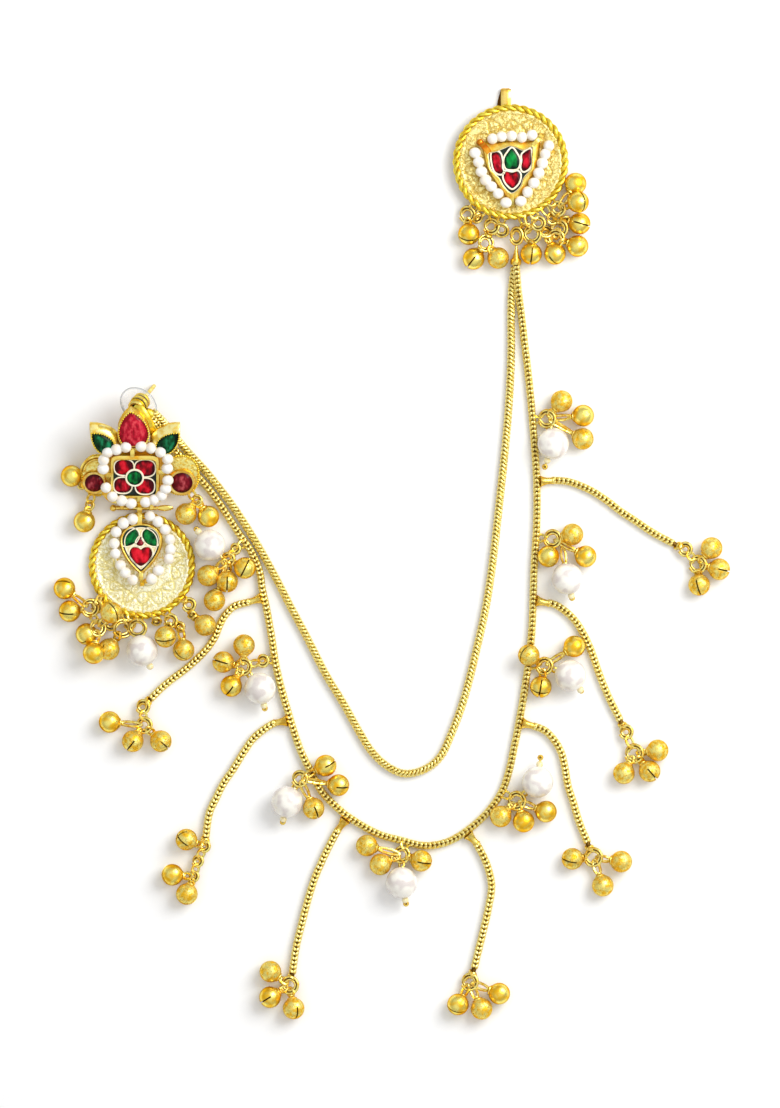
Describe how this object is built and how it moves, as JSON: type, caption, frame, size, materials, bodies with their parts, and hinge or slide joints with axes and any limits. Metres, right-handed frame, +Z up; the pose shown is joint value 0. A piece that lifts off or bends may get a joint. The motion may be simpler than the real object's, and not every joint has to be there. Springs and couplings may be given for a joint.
{
  "type": "drop earring with ear-to-hair chain",
  "caption": "Bridal drop earring with stone-set top and hinged disc drop, joined by two chains with bells and pearls to a round hair ornament.",
  "frame": {"origin": "middle of the object's bounding box, on the surface that the earring lies on", "axes": "+X to the right of the earring seen from its face, +Y towards the hair hook, +Z up out of the surface, the way the faces look"},
  "size_m": [0.1689, 0.2324, 0.0146],
  "materials": {
    "gold_chain": "bright yellow gold plate over woven wire links",
    "gold_polished": "bright yellow gold plate, polished",
    "gold_satin": "brushed satin gold plate with fine scratches",
    "gold_coin": "pale gold, stamped and lightly hammered, frosted",
    "pearl": "white imitation pearl with a faint pink lustre",
    "seed_pearl": "small white pearls, soft gloss",
    "ruby_stone": "red glass stone over foil",
    "maroon_stone": "dark wine red glass cabochon",
    "emerald_stone": "green glass stone over foil",
    "cream_enamel": "cream and dark green enamel around foiled stones",
    "clear_plastic": "clear soft plastic"
  },
  "bodies": {
    "earring": {"chain_bells_1": "gold_satin", "chain_bells_2": "gold_satin", "chain_bells_3": "gold_satin", "chain_bells_4": "gold_satin", "chain_bells_5": "gold_satin", "chain_bells_6": "gold_satin", "chain_bells_7": "gold_satin", "chain_bells_8": "gold_satin", "chain_cone": "gold_polished", "chain_loop": "gold_polished", "chain_pearl_1": "pearl", "chain_pearl_2": "pearl", "chain_pearl_3": "pearl", "chain_pearl_4": "pearl", "chain_pearl_5": "pearl", "chain_pearl_6": "pearl", "chain_pearl_7": "pearl", "chain_pearl_8": "pearl", "clutch_barrel": "gold_polished", "clutch_disc": "clear_plastic", "ear_bell_left_lower": "gold_satin", "ear_bell_left_upper": "gold_satin", "ear_bells_right": "gold_satin", "ear_seed_pearls": "seed_pearl", "ear_top": "gold_polished", "green_petal_stone_left": "emerald_stone", "green_petal_stone_right": "emerald_stone", "hair_bells_left": "gold_satin", "hair_bells_middle": "gold_satin", "hair_bells_right": "gold_satin", "hair_disc": "gold_coin", "hair_hook": "gold_polished", "hair_inlay": "cream_enamel", "hair_seed_pearls": "seed_pearl", "long_chain": "gold_chain", "maroon_stone_left": "maroon_stone", "maroon_stone_right": "maroon_stone", "red_petal_stone": "ruby_stone", "short_chain": "gold_chain", "side_bells_1": "gold_satin", "side_bells_2": "gold_satin", "side_bells_3": "gold_satin", "side_bells_4": "gold_satin", "side_bells_5": "gold_satin", "side_bells_6": "gold_satin", "side_bells_7": "gold_satin", "side_chain_1": "gold_chain", "side_chain_2": "gold_chain", "side_chain_3": "gold_chain", "side_chain_4": "gold_chain", "side_chain_5": "gold_chain", "side_chain_6": "gold_chain", "side_chain_7": "gold_chain", "square_inlay": "cream_enamel"},
    "drop": {"drop_bells_left": "gold_satin", "drop_bells_right": "gold_satin", "drop_disc": "gold_coin", "drop_inlay": "cream_enamel", "drop_pearl": "pearl", "drop_seed_pearls": "seed_pearl"}
  },
  "joints": [
    {"name": "drop_hinge", "type": "hinge", "parent": "earring", "child": "drop", "pos_m": [-0.0631, 0.0115, 0.0019], "axis": [-1, 0, 0], "range_deg": [0, 25]}
  ]
}
